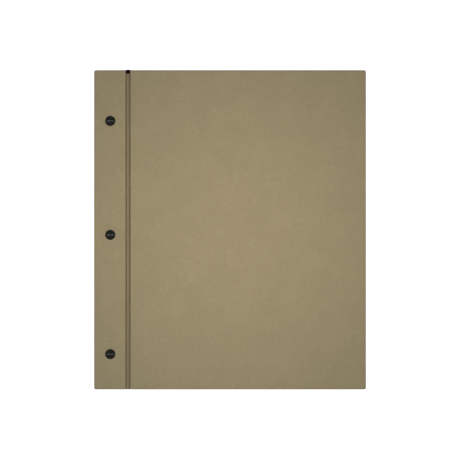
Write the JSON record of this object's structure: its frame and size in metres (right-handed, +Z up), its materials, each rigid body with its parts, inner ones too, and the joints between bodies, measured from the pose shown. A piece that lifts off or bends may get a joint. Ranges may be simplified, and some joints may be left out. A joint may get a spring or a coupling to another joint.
{
  "type": "scrapbook album",
  "caption": "Post-bound scrapbook album with hinged leatherette board covers, a stack of cardstock leaves and slotted screw posts through its binding strips.",
  "frame": {"origin": "under the middle of the closed album, on the surface that it lies on", "axes": "+X from the binding strips to the fore edge, +Y to the head, +Z up out of the front cover"},
  "size_m": [0.252, 0.296, 0.0194],
  "materials": {
    "leatherette": "matt tan bonded leather with a fine grain",
    "greyboard": "raw greyboard",
    "hinge_cloth": "black bookbinding cloth",
    "endpaper": "uncoated cream endpaper",
    "cardstock": "uncoated cream cardstock",
    "gunmetal": "black-coated steel, satin"
  },
  "bodies": {
    "binding": {"front_strip_wrap": "leatherette", "front_strip_board": "greyboard", "front_hinge_cloth_strip_side": "hinge_cloth", "back_strip_wrap": "leatherette", "back_strip_board": "greyboard", "back_hinge_cloth_strip_side": "hinge_cloth", "leaf_01_stub": "cardstock", "leaf_02_stub": "cardstock", "leaf_03_stub": "cardstock", "leaf_04_stub": "cardstock", "leaf_05_stub": "cardstock", "leaf_06_stub": "cardstock", "leaf_07_stub": "cardstock", "leaf_08_stub": "cardstock", "leaf_09_stub": "cardstock", "leaf_10_stub": "cardstock", "head_post": "gunmetal", "head_screw": "gunmetal", "middle_post": "gunmetal", "middle_screw": "gunmetal", "tail_post": "gunmetal", "tail_screw": "gunmetal"},
    "front_cover": {"front_panel_wrap": "leatherette", "front_panel_board": "greyboard", "front_hinge_cloth_panel_side": "hinge_cloth", "front_endpaper": "endpaper"},
    "back_cover": {"back_panel_wrap": "leatherette", "back_panel_board": "greyboard", "back_hinge_cloth_panel_side": "hinge_cloth", "back_endpaper": "endpaper"},
    "leaf_01": {"leaf_01_page": "cardstock"},
    "leaf_02": {"leaf_02_page": "cardstock"},
    "leaf_03": {"leaf_03_page": "cardstock"},
    "leaf_04": {"leaf_04_page": "cardstock"},
    "leaf_05": {"leaf_05_page": "cardstock"},
    "leaf_06": {"leaf_06_page": "cardstock"},
    "leaf_07": {"leaf_07_page": "cardstock"},
    "leaf_08": {"leaf_08_page": "cardstock"},
    "leaf_09": {"leaf_09_page": "cardstock"},
    "leaf_10": {"leaf_10_page": "cardstock"}
  },
  "joints": [
    {"name": "front_cover_open", "type": "hinge", "parent": "binding", "child": "front_cover", "pos_m": [-0.0947, 0, 0.01885], "axis": [0, -1, 0], "range_deg": [0, 178]},
    {"name": "back_cover_open", "type": "hinge", "parent": "binding", "child": "back_cover", "pos_m": [-0.0947, 0, 0.00055], "axis": [0, 1, 0], "range_deg": [0, 178]},
    {"name": "leaf_01_turn", "type": "hinge", "parent": "binding", "child": "leaf_01", "pos_m": [-0.0947, 0, 0.01885], "axis": [0, -1, 0], "range_deg": [0, 178]},
    {"name": "leaf_02_turn", "type": "hinge", "parent": "binding", "child": "leaf_02", "pos_m": [-0.0947, 0, 0.01885], "axis": [0, -1, 0], "range_deg": [0, 178]},
    {"name": "leaf_03_turn", "type": "hinge", "parent": "binding", "child": "leaf_03", "pos_m": [-0.0947, 0, 0.01885], "axis": [0, -1, 0], "range_deg": [0, 178]},
    {"name": "leaf_04_turn", "type": "hinge", "parent": "binding", "child": "leaf_04", "pos_m": [-0.0947, 0, 0.01885], "axis": [0, -1, 0], "range_deg": [0, 178]},
    {"name": "leaf_05_turn", "type": "hinge", "parent": "binding", "child": "leaf_05", "pos_m": [-0.0947, 0, 0.01885], "axis": [0, -1, 0], "range_deg": [0, 178]},
    {"name": "leaf_06_turn", "type": "hinge", "parent": "binding", "child": "leaf_06", "pos_m": [-0.0947, 0, 0.01885], "axis": [0, -1, 0], "range_deg": [0, 178]},
    {"name": "leaf_07_turn", "type": "hinge", "parent": "binding", "child": "leaf_07", "pos_m": [-0.0947, 0, 0.01885], "axis": [0, -1, 0], "range_deg": [0, 178]},
    {"name": "leaf_08_turn", "type": "hinge", "parent": "binding", "child": "leaf_08", "pos_m": [-0.0947, 0, 0.01885], "axis": [0, -1, 0], "range_deg": [0, 178]},
    {"name": "leaf_09_turn", "type": "hinge", "parent": "binding", "child": "leaf_09", "pos_m": [-0.0947, 0, 0.01885], "axis": [0, -1, 0], "range_deg": [0, 178]},
    {"name": "leaf_10_turn", "type": "hinge", "parent": "binding", "child": "leaf_10", "pos_m": [-0.0947, 0, 0.01885], "axis": [0, -1, 0], "range_deg": [0, 178]}
  ],
  "couplings": [
    {"joint": "leaf_01_turn", "follows": "front_cover_open", "ratio": 0.985},
    {"joint": "leaf_02_turn", "follows": "front_cover_open", "ratio": 0.97},
    {"joint": "leaf_03_turn", "follows": "front_cover_open", "ratio": 0.955},
    {"joint": "leaf_04_turn", "follows": "front_cover_open", "ratio": 0.94},
    {"joint": "leaf_05_turn", "follows": "front_cover_open", "ratio": 0.925},
    {"joint": "leaf_06_turn", "follows": "front_cover_open", "ratio": 0.075},
    {"joint": "leaf_07_turn", "follows": "front_cover_open", "ratio": 0.06},
    {"joint": "leaf_08_turn", "follows": "front_cover_open", "ratio": 0.045},
    {"joint": "leaf_09_turn", "follows": "front_cover_open", "ratio": 0.03},
    {"joint": "leaf_10_turn", "follows": "front_cover_open", "ratio": 0.015}
  ]
}
